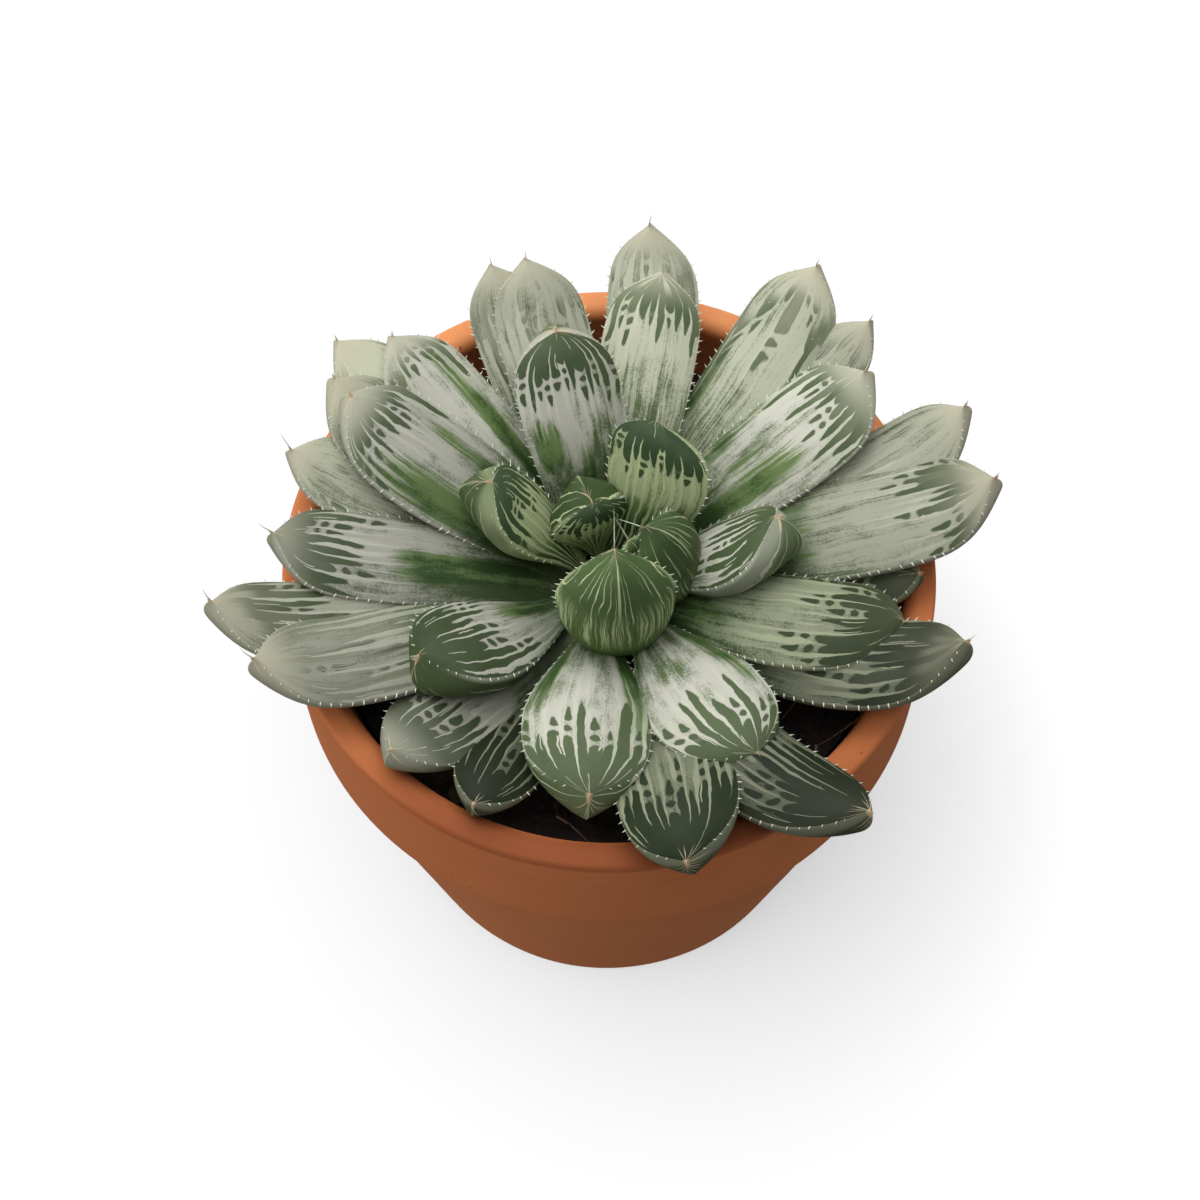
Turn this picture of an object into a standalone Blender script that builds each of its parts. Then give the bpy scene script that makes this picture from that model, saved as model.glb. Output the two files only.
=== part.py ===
"""Potted haworthia: a rosette of plump, toothed, windowed leaves on a short stem, in a terracotta pot.

Z is up, and the origin is the centre of the pot's foot. +Y is the back of the plant. Each leaf, the stem, the
soil and the pot is an object of its own. Leaves are listed from the heart outwards: an outer leaf is trimmed
to lie against every leaf inside it, as the clasped leaf bases of a real rosette do.
"""

import math
import random
from collections import namedtuple

import bmesh
import bpy
from mathutils import Matrix, Vector

MM = 0.001

# Pot
POT_HEIGHT = 78 * MM
RIM_RADIUS = 45 * MM
BAND_HEIGHT = 21 * MM
BAND_STEP = 1.1 * MM
FOOT_RADIUS = 33.5 * MM
WALL = 4.4 * MM
FLOOR = 6 * MM
DRAIN_RADIUS = 6 * MM
LIP_ROUND = 2.1 * MM
EDGE_ROUND = 0.8 * MM
POT_STEPS = 48

# Soil and stem
SEAT_GAP = 0.3 * MM
SOIL_DROP = 9.5 * MM
SOIL_MOUND = 0.5 * MM
SOIL_CRUMB = 0.7 * MM
SOIL_RINGS = 7
SOIL_STEPS = 40
STEM_RADIUS = 6.5 * MM
STEM_TOP_RADIUS = 2.4 * MM
STEM_DEPTH = 30 * MM
STEM_TAPER = 6 * MM
STEM_STEPS = 20

# Leaf proportions, as shares of the leaf's width or of its length
CROWN = 0.13
KEEL = 0.4
ROOT_PULL = 0.42
TIP_PULL = 0.20
SEAT_OUT = 0.5 * MM
LEAF_GAP = 0.4 * MM
TOOTH = 0.65 * MM
MUCRO = 1.0 * MM
LEAF_SIDES = 8
FIRST_TOOTH = 0.34
LAST_TOOTH = 0.88
TOOTH_STEP = 0.72
WELDS = (0.02 * MM, 0.01 * MM, 0.005 * MM, 0.04 * MM)  # tried in turn until a trimmed leaf closes soundly
FLAT_ANGLE = math.radians(2)

# A leaf form: its base's width, how late it flares from there and where it is widest, how full and how cusped its
# tip is, how far the prow below its tip juts, and its depth. Widths and depths are shares of the leaf's width.
Form = namedtuple("Form", "base flare widest power cusp prow belly")
FORMS = {
    "blunt": Form(0.5, 1.0, 0.60, 3.4, 1.0, 0.5, 0.38),
    "egg": Form(0.12, 2.4, 0.62, 3.0, 1.0, 0.6, 0.40),
    "spoon": Form(0.4, 1.2, 0.62, 3.0, 1.0, 0.1, 0.38),
    "pointed": Form(0.5, 1.0, 0.60, 4.2, 1.45, 0.35, 0.38),
    "wedge": Form(0.2, 1.6, 0.62, 3.0, 1.1, 0.5, 0.48),
    "bulb": Form(0.15, 1.7, 0.60, 2.0, 1.2, 0.4, 0.44),
}

# Each leaf: the direction it points in plan and its tip's distance from the pot's axis, the tip's height above the
# rim, the slopes at which its midrib leaves the stem and ends, its width, how far it bows sideways (positive is
# anticlockwise from above), how far it rolls about its midrib, and its form. Angles are in degrees, the rest in
# millimetres.
Leaf = namedtuple("Leaf", "azimuth reach height rise nod width bow roll form", defaults=("blunt",))
LEAVES = [
    Leaf(319, 3.3, 10, 85, 95, 5.0, 0, 0),
    Leaf(275, 7.2, 17, 0, 110, 16.0, 0, 0, "bulb"),
    Leaf(350, 4.5, 11, 10, 140, 13.2, -1, -20, "bulb"),
    Leaf(116, 5.2, 8, 70, 80, 12.2, 0, 0, "bulb"),
    Leaf(64, 14.5, 15.5, 65, 25, 14.5, -2.5, 0, "spoon"),
    Leaf(161, 16.5, 12.5, 60, 75, 12, 0, 25, "wedge"),
    Leaf(0.5, 22, 12.5, 50, 60, 12.3, -2, -26, "wedge"),
    Leaf(301.5, 36.5, 6, 35, 5, 16.2, -1.5, 0, "egg"),
    Leaf(266, 37, 6, 35, 8, 17, -1.2, 0, "egg"),
    Leaf(105, 28, 16, 55, 50, 14.5, 0, 0),
    Leaf(216, 31, 8, 20, 10, 15, 1, 15, "wedge"),
    Leaf(32, 41, 14, 45, 50, 14.5, -1, 0, "pointed"),
    Leaf(152, 39.5, 13, 45, 40, 15.0, 1.5, 0),
    Leaf(342, 41, 7, 45, -5, 13.5, -4, 0),
    Leaf(79, 39, 14, 50, 45, 13.5, 0, 0, "pointed"),
    Leaf(7, 52, 12, 42, 40, 15.0, -2, 0, "pointed"),
    Leaf(180.5, 45, 9, 44, 35, 13.0, 2, 0, "pointed"),
    Leaf(54, 49.5, 13, 42, 45, 13.5, -1.5, 0, "pointed"),
    Leaf(136, 41.5, 12, 42, 45, 12.5, 0, 0, "pointed"),
    Leaf(281.5, 47.6, 7.8, 12, 2, 16, 1.5, 10),
    Leaf(227, 41.5, 5.3, 12, 30, 13, 1, 0),
    Leaf(106, 42, 14, 45, 45, 13.0, 0, 0, "pointed"),
    Leaf(309, 52, 9.3, 28, 27, 13, -6, 0),
    Leaf(340, 49.5, 10, 38, 40, 13.5, -6, 0, "pointed"),
    Leaf(203, 50, 10, 42, 40, 13.5, 3, 0, "pointed"),
    Leaf(20, 51.5, 12, 40, 50, 12.0, -3, 0, "pointed"),
    Leaf(83, 46.5, 14, 42, 50, 13.0, -2, 0, "pointed"),
    Leaf(192, 53.5, 10, 42, 50, 12.0, 3.5, 0, "pointed"),
    Leaf(149, 44, 11, 38, 45, 13.0, 2, 0, "pointed"),
    Leaf(112, 44, 12, 40, 45, 11.5, 0, 0, "pointed"),
    Leaf(41, 48, 12, 40, 45, 10.5, 0, 0, "pointed"),
    Leaf(245, 41.3, 4.2, 12, 18, 11.6, 0, 0),
    Leaf(142, 48, 10, 38, 40, 11.5, 0, 0, "pointed"),
    Leaf(164, 45, 9, 38, 45, 11.5, 0, 0, "pointed"),
    Leaf(354, 42, 5, 35, 20, 11.5, 0, 0),
]
HEART_DROP = 3.5 * MM  # depth below the rim at which the innermost leaf leaves the stem
WHORL_DROP = 0.16 * MM  # how much lower each next leaf leaves it


def blend(a, b, share):
    return a + (b - a) * share


def ease(share):
    """A smooth step from 0 to 1."""
    share = min(max(share, 0), 1)
    return share * share * (3 - 2 * share)


def clear_scene():
    for old in list(bpy.data.objects):
        bpy.data.objects.remove(old, do_unlink=True)


def new_collection(name):
    made = bpy.data.collections.new(name)
    bpy.context.scene.collection.children.link(made)
    return made


def new_material(name, colour, roughness):
    made = bpy.data.materials.new(name)
    made.use_nodes = True
    shader = made.node_tree.nodes["Principled BSDF"]
    shader.inputs["Base Color"].default_value = (*colour, 1)
    shader.inputs["Roughness"].default_value = roughness
    shader.inputs["Metallic"].default_value = 0
    return made


def add_object(name, mesh, collection, material=None):
    made = bpy.data.objects.new(name, mesh)
    collection.objects.link(made)
    if material:
        mesh.materials.append(material)
    return made


def turned_mesh(name, profile, steps, closed):
    """The mesh swept by a profile of (radius, height) points, which runs down its outer side."""
    mesh = bpy.data.meshes.new(name)
    count = len(profile)
    edges = [(i, (i + 1) % count) for i in range(count if closed else count - 1)]
    mesh.from_pydata([(radius, 0, height) for radius, height in profile], edges, [])
    shape = add_object(name + "_profile", mesh, bpy.context.scene.collection)
    screw = shape.modifiers.new("Turn", "SCREW")
    screw.steps = screw.render_steps = steps
    screw.use_merge_vertices = True
    screw.merge_threshold = 1e-6
    screw.use_smooth_shade = True
    turned = applied_mesh(shape, name)
    bpy.data.objects.remove(shape)
    return turned


def applied_mesh(shape, name):
    """A copy of the object's mesh with its modifiers applied, in world space."""
    graph = bpy.context.evaluated_depsgraph_get()
    mesh = bpy.data.meshes.new_from_object(shape.evaluated_get(graph))
    mesh.transform(shape.matrix_world)
    mesh.name = name
    return mesh


def arc(centre, radius, start, end, points):
    """Points of an arc in the (radius, height) plane, between two angles in degrees."""
    angles = [math.radians(start + (end - start) * i / (points - 1)) for i in range(points)]
    return [(centre[0] + radius * math.cos(a), centre[1] + radius * math.sin(a)) for a in angles]


def inner_wall_radius(height):
    """Radius of the pot's inner wall, which tapers from the lip down to the floor."""
    share = (height - FLOOR) / (POT_HEIGHT - FLOOR)
    return (FOOT_RADIUS - WALL) + share * (RIM_RADIUS - FOOT_RADIUS)


def pot_profile():
    band_foot = POT_HEIGHT - BAND_HEIGHT
    lip = inner_wall_radius(POT_HEIGHT)
    return [
        *arc((lip + LIP_ROUND, POT_HEIGHT - LIP_ROUND), LIP_ROUND, 180, 90, 5),
        *arc((RIM_RADIUS - EDGE_ROUND, POT_HEIGHT - EDGE_ROUND), EDGE_ROUND, 80, 0, 3),
        *arc((RIM_RADIUS - EDGE_ROUND, band_foot + EDGE_ROUND), EDGE_ROUND, 0, -80, 3),
        (RIM_RADIUS - BAND_STEP, band_foot - 0.4 * MM),
        *arc((FOOT_RADIUS - EDGE_ROUND, EDGE_ROUND), EDGE_ROUND, -10, -90, 3),
        (DRAIN_RADIUS, 0),
        (DRAIN_RADIUS, FLOOR),
        (inner_wall_radius(FLOOR), FLOOR),
    ]


def soil_height(radius):
    """The potting mix stands a little higher round the stem than against the wall."""
    return POT_HEIGHT - SOIL_DROP + SOIL_MOUND * (1 - radius / RIM_RADIUS)


def make_pot(collection):
    mesh = turned_mesh("pot", pot_profile(), POT_STEPS, closed=True)
    mesh.set_sharp_from_angle(angle=math.radians(40))
    return add_object("pot", mesh, collection, new_material("terracotta", (0.55, 0.22, 0.12), 0.85))


def bed_profile():
    """The space below the leaves that the soil's highest crumbs may reach."""
    rise = SOIL_CRUMB + SEAT_GAP
    wall = RIM_RADIUS - WALL
    return [(0, soil_height(0) + rise), (wall, soil_height(wall) + rise), (wall, FLOOR), (0, FLOOR)]


def make_soil(collection):
    """Potting mix: it fills the pot, has a plain hole for the stem, and its surface is crumbed."""
    hole = STEM_RADIUS + SEAT_GAP
    hole_foot = POT_HEIGHT - STEM_DEPTH - SEAT_GAP
    wall_top = inner_wall_radius(POT_HEIGHT - SOIL_DROP) - SEAT_GAP
    radii = [hole + (wall_top - hole) * i / SOIL_RINGS for i in range(SOIL_RINGS + 1)]
    floor = FLOOR + SEAT_GAP
    profile = [
        (0, hole_foot),
        (hole, hole_foot),
        *((radius, soil_height(radius)) for radius in radii),
        (inner_wall_radius(floor) - SEAT_GAP, floor),
        (0, floor),
    ]
    mesh = turned_mesh("soil", profile, SOIL_STEPS, closed=False)
    crumbs = random.Random(7)
    for vertex in mesh.vertices:
        radius = vertex.co.xy.length
        if vertex.co.z > POT_HEIGHT - 2 * SOIL_DROP and hole + MM < radius < wall_top - MM:
            vertex.co.z += crumbs.uniform(-SOIL_CRUMB, SOIL_CRUMB)
    return add_object("soil", mesh, collection, new_material("potting_mix", (0.03, 0.02, 0.015), 0.95))


def stem_profile(swell=0.0):
    top = POT_HEIGHT - HEART_DROP
    foot = POT_HEIGHT - STEM_DEPTH
    return [
        (0, top + swell),
        (STEM_TOP_RADIUS + swell, top + swell),
        (STEM_RADIUS + swell, top - STEM_TAPER),
        (STEM_RADIUS + swell, foot + STEM_RADIUS),
        (STEM_TOP_RADIUS + swell, foot - swell),
        (0, foot - swell),
    ]


def stem_radius(height):
    """The stem's radius at a height within its tapered top."""
    down = (POT_HEIGHT - HEART_DROP - height) / STEM_TAPER
    return blend(STEM_TOP_RADIUS, STEM_RADIUS, min(max(down, 0), 1))


def make_stem(collection):
    mesh = turned_mesh("stem", stem_profile(), STEM_STEPS, closed=False)
    return add_object("stem", mesh, collection, new_material("stem_bark", (0.22, 0.17, 0.08), 0.8))


def half_width_at(form, t):
    """Half-width along the leaf, as a share of the widest: a narrow base, then an ogive to the tip."""
    if t < form.widest:
        return blend(form.base, 1, math.sin(t / form.widest * math.pi / 2) ** form.flare)
    return (1 - ((t - form.widest) / (1 - form.widest)) ** form.power) ** form.cusp


def belly_at(form, t):
    """Depth of the underside: it stays full almost to the tip, which makes the leaf's blunt prow."""
    closing = max(0, (t - form.widest) / (1 - form.widest))
    return blend(0.45, 1, ease(t / 0.5)) * math.sqrt(1 - min(1, closing) ** 3)


def crown_at(t):
    """Height of the upper face: flat near the base and swollen towards the tip."""
    return ease(t / 0.6) * (1 - max(0, (t - 0.7) / 0.3) ** 2.5)


def section_point(form, angle, t, width, swell):
    """A point of the leaf's cross-section: (sideways, up, forward) from the midrib."""
    side, up = math.cos(angle), math.sin(angle)
    sideways = side * (half_width_at(form, t) * width / 2 + swell)
    if up >= 0:
        return sideways, up * up * (crown_at(t) * CROWN * width + swell), 0
    keeled = ease((t - 0.55) / 0.35)
    depth = blend((-up) ** 0.85, 1 - abs(side), keeled * KEEL)
    down = depth * (belly_at(form, t) * form.belly * width + swell)
    return sideways, -down, form.prow * keeled * down


def midrib(leaf, rank):
    """The midrib's four Bezier handles, as (outward, height) in the vertical plane through the pot's axis."""
    seat = POT_HEIGHT - HEART_DROP - rank * WHORL_DROP
    start = Vector((stem_radius(seat) + SEAT_OUT, seat))
    end = Vector((leaf.reach * MM, POT_HEIGHT + leaf.height * MM))
    rise, nod = math.radians(leaf.rise), math.radians(leaf.nod)
    span = max((end - start).length, leaf.width * MM)
    leave = start + ROOT_PULL * span * Vector((math.cos(rise), math.sin(rise)))
    arrive = end - TIP_PULL * span * Vector((math.cos(nod), math.sin(nod)))
    return start, leave, arrive, end


def along(handles, t):
    """A point of a cubic Bezier and its direction."""
    a, b, c, d = handles
    s = 1 - t
    point = a * s**3 + b * (3 * s * s * t) + c * (3 * s * t * t) + d * t**3
    heading = (b - a) * (s * s) + (c - b) * (2 * s * t) + (d - c) * (t * t)
    return point, heading.normalized()


def tooth_count(leaf):
    return 3 if leaf.reach < 10 else 4 if leaf.reach < 35 else 5


def ring_places(leaf):
    """Where along the leaf its rings of points lie, and which of them carry a pair of marginal teeth."""
    teeth = tooth_count(leaf)
    gap = (LAST_TOOTH - FIRST_TOOTH) / teeth
    places = [0.0, 0.05, 0.18]
    toothed = []
    for i in range(teeth):
        places.append(FIRST_TOOTH + gap * i)
        toothed.append(len(places))
        places.append(FIRST_TOOTH + gap * (i + TOOTH_STEP))
    return places + [LAST_TOOTH, 0.94, 0.98, 1.0], toothed


def leaf_mesh(name, leaf, rank, swell=0.0):
    """A sphere drawn out along the midrib: one pole is the leaf's base, the other its tip.

    With a swell it is the plain envelope that clears the leaf, teeth and all, by that much.
    """
    places, toothed = ring_places(leaf)
    handles = midrib(leaf, rank)
    azimuth = math.radians(leaf.azimuth)
    outward = Vector((math.cos(azimuth), math.sin(azimuth), 0))
    across = Vector((-math.sin(azimuth), math.cos(azimuth), 0))
    rings = len(places) - 1
    made = bmesh.new()
    bmesh.ops.create_uvsphere(made, u_segments=LEAF_SIDES, v_segments=rings, radius=1)
    for vertex in made.verts:
        ring = rings - round(math.acos(max(-1, min(1, vertex.co.z))) / math.pi * rings)
        t = places[ring]
        point, heading = along(handles, t)
        forward = heading.x * outward + Vector((0, 0, heading.y))
        normal = -heading.y * outward + Vector((0, 0, heading.x))
        turn = Matrix.Rotation(math.radians(leaf.roll) * t, 3, forward)
        sideways, up, lead = 0, 0, 0
        if 0 < ring < rings:
            angle = math.atan2(vertex.co.y, vertex.co.x)
            sideways, up, lead = section_point(FORMS[leaf.form], angle, t, leaf.width * MM, swell)
            if abs(up) < 1e-9 and (ring in toothed or swell):
                sideways += math.copysign(TOOTH, sideways)
        elif ring == rings:
            lead = MUCRO + swell
        bend = leaf.bow * MM * 4 * t * (1 - t)
        vertex.co = (
            point.x * outward
            + Vector((0, 0, point.y))
            + across * bend
            + turn @ (across * sideways + normal * up)
            + forward * lead
        )
    bmesh.ops.triangulate(made, faces=made.faces)
    mesh = bpy.data.meshes.new(name)
    made.to_mesh(mesh)
    made.free()
    return mesh


def largest_body(mesh, weld):
    """The mesh without the scraps that trimming can leave at a leaf's base, and with the split faces merged."""
    made = bmesh.new()
    made.from_mesh(mesh)
    bmesh.ops.remove_doubles(made, verts=made.verts, dist=weld)
    bodies = []
    waiting = set(made.faces)
    while waiting:
        body = {waiting.pop()}
        border = body
        while border:
            border = {near for face in border for edge in face.edges for near in edge.link_faces} - body
            body |= border
        waiting -= body
        bodies.append(body)
    largest = max(bodies, key=lambda body: sum(face.calc_area() for face in body))
    scraps = [face for face in made.faces if face not in largest]
    bmesh.ops.delete(made, geom=scraps, context="FACES")
    bmesh.ops.dissolve_limit(made, angle_limit=FLAT_ANGLE, verts=made.verts, edges=made.edges)
    bmesh.ops.dissolve_degenerate(made, edges=made.edges, dist=weld / 2)
    bmesh.ops.triangulate(made, faces=made.faces)
    return made


def keep_largest_body(mesh):
    for weld in WELDS:
        made = largest_body(mesh, weld)
        sound = all(len(edge.link_faces) == 2 for edge in made.edges)
        if sound:
            made.to_mesh(mesh)
        made.free()
        if sound:
            return
    raise ValueError(mesh.name + " doesn't close soundly")


def trim(shape, cutters):
    """Cuts the leaf back from everything that it lies against, and applies the cut."""
    cut = shape.modifiers.new("Trim", "BOOLEAN")
    cut.operation = "DIFFERENCE"
    cut.solver = "EXACT"
    cut.operand_type = "COLLECTION"
    cut.collection = cutters
    mesh = applied_mesh(shape, shape.name)
    shape.modifiers.clear()
    shape.data = mesh
    keep_largest_body(mesh)


def make_leaves(collection):
    """The rosette, from the heart outwards. Each leaf becomes a cutter for those outside it."""
    cutters = new_collection("cutters")
    cutters.hide_render = True
    stem_cutter = turned_mesh("stem_cutter", stem_profile(SEAT_GAP), STEM_STEPS, closed=False)
    soil_cutter = turned_mesh("soil_cutter", bed_profile(), STEM_STEPS, closed=False)
    envelopes = [add_object("stem_cutter", stem_cutter, cutters), add_object("soil_cutter", soil_cutter, cutters)]
    skin = new_material("leaf_skin", (0.32, 0.42, 0.28), 0.4)
    for rank, leaf in enumerate(LEAVES):
        name = f"leaf_{rank + 1:02d}"
        shape = add_object(name, leaf_mesh(name, leaf, rank), collection, skin)
        trim(shape, cutters)
        shape.data.shade_smooth()
        envelope = leaf_mesh(name + "_envelope", leaf, rank, swell=LEAF_GAP)
        envelopes.append(add_object(name + "_envelope", envelope, cutters))
    for envelope in envelopes:
        bpy.data.objects.remove(envelope)
    bpy.data.collections.remove(cutters)


def main():
    clear_scene()
    plant = new_collection("potted_haworthia")
    make_pot(plant)
    make_soil(plant)
    make_stem(plant)
    make_leaves(plant)


main()
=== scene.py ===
"""The looks of the potted haworthia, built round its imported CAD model.

Each leaf is drawn again on its CAD midrib with many more points, and gets its teeth, awn and variegation. The
markings are worked out on the leaf's own coordinates: how far across it a point is, and how far along.
"""

import math
import random
from collections import namedtuple

import bmesh
import bpy
from mathutils import Matrix, Vector, noise


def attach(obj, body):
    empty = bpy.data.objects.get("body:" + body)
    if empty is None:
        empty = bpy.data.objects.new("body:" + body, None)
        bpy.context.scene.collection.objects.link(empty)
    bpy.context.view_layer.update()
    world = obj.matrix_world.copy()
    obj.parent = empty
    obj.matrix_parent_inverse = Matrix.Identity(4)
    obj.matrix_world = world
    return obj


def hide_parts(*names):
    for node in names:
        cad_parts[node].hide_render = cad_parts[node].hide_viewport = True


MM = 0.001
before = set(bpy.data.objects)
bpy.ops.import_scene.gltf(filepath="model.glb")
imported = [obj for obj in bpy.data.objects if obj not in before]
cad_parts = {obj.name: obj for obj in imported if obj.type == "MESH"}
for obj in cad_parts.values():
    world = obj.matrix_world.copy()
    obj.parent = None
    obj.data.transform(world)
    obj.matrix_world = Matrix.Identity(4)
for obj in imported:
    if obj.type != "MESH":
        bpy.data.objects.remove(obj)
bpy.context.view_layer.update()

# ---------------------------------------------------------------- the CAD model's own sizes

POT_HEIGHT = 78 * MM
RIM_RADIUS = 45 * MM
BAND_HEIGHT = 21 * MM
BAND_STEP = 1.1 * MM
FOOT_RADIUS = 33.5 * MM
WALL = 4.4 * MM
FLOOR = 6 * MM
DRAIN_RADIUS = 6 * MM
LIP_ROUND = 2.1 * MM
EDGE_ROUND = 0.8 * MM
SOIL_DROP = 9.5 * MM
SOIL_MOUND = 0.5 * MM
STEM_RADIUS = 6.5 * MM
STEM_TOP_RADIUS = 2.4 * MM
STEM_DEPTH = 30 * MM
STEM_TAPER = 6 * MM
HEART_DROP = 3.5 * MM
WHORL_DROP = 0.16 * MM
SEAT_OUT = 0.5 * MM
SEAT_GAP = 0.3 * MM
CROWN = 0.13
KEEL = 0.4
ROOT_PULL = 0.42
TIP_PULL = 0.20

# A leaf: the direction it points in plan, its tip's distance from the pot's axis and height above the rim,
# the slopes at which its midrib leaves the stem and ends, its width, how far it bows sideways and rolls, and
# its form. Angles are in degrees, the rest in millimetres.
Leaf = namedtuple("Leaf", "azimuth reach height rise nod width bow roll form", defaults=("blunt",))
# A form: the base's width, how late the leaf flares from it and where it is widest, how full and how cusped
# its tip is, how far its prow juts, and how thick it is.
Form = namedtuple("Form", "base flare widest power cusp prow belly")
FORMS = {
    "blunt": Form(0.5, 1.0, 0.60, 3.4, 1.0, 0.5, 0.38),
    "egg": Form(0.12, 2.4, 0.62, 3.0, 1.0, 0.6, 0.40),
    "spoon": Form(0.4, 1.2, 0.62, 3.0, 1.0, 0.1, 0.38),
    "pointed": Form(0.5, 1.0, 0.60, 4.2, 1.45, 0.35, 0.38),
    "wedge": Form(0.2, 1.6, 0.62, 3.0, 1.1, 0.5, 0.48),
    "bulb": Form(0.15, 1.7, 0.60, 2.0, 1.2, 0.4, 0.44),
}
Look = namedtuple(
    "Look",
    "skin start edge spread end reach line cells window tip under awn tone greens",
)
# Fields of a look: the skin's palette; where along the leaf the window starts, how much sooner it does at
# the margins, and how unevenly; where the window gives way to a pale tip; how far the white veins reach into
# it, and how thick they are; how many dark fingers there are; the window's depth of colour; the tip's
# paleness; how green the underside is; the awn's length in millimetres; how light the whole leaf is, partly
# its own colour and partly painted light and shade for how the light falls on it; and green streaks, each
# (across, half-width, from, to, amount).
# SHADE: leaves lying low under others, partly their own darker green and partly painted shade.
CREAM, SILVER, HEART, SHADE = range(4)
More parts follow.
